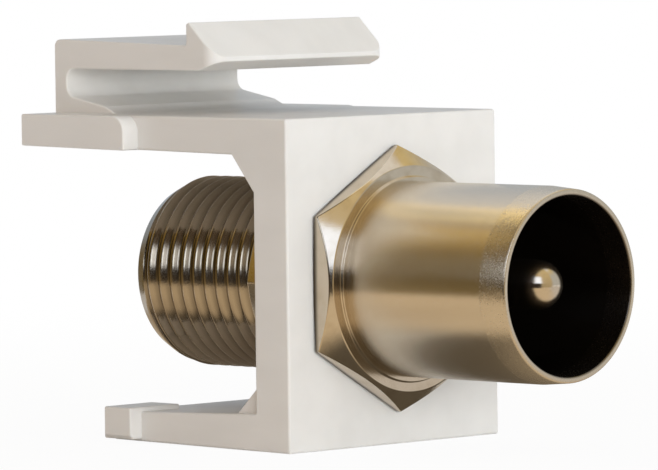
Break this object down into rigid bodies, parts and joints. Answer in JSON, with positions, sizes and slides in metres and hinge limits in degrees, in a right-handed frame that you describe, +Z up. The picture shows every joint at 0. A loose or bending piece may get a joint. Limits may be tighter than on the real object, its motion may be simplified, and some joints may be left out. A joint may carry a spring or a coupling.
{
  "type": "keystone coaxial antenna socket insert",
  "caption": "Snap-in keystone insert holding a coaxial through-adaptor: smooth push-on antenna plug in front, threaded screw-on socket behind.",
  "frame": {"origin": "on the connector's axis, at the front face of the moulding", "axes": "+Z up towards the latch, -Y out of the plug, +Y out of the threaded socket, +X to the right seen from the front"},
  "size_m": [0.0166, 0.0291, 0.0207],
  "materials": {
    "white_moulding": "semi-gloss moulded white plastic",
    "nickel_plate": "turned brass, bright nickel plate",
    "black_insulator": "satin black plastic",
    "white_dielectric": "waxy natural white plastic",
    "spring_bronze": "plain spring bronze"
  },
  "bodies": {
    "root": {"keystone_housing": "white_moulding", "adaptor_body": "nickel_plate", "rear_nut": "nickel_plate", "pal_shell": "nickel_plate", "front_insulator": "black_insulator", "centre_pin": "nickel_plate", "rear_insulator": "white_dielectric", "f_contact": "spring_bronze"}
  },
  "joints": []
}
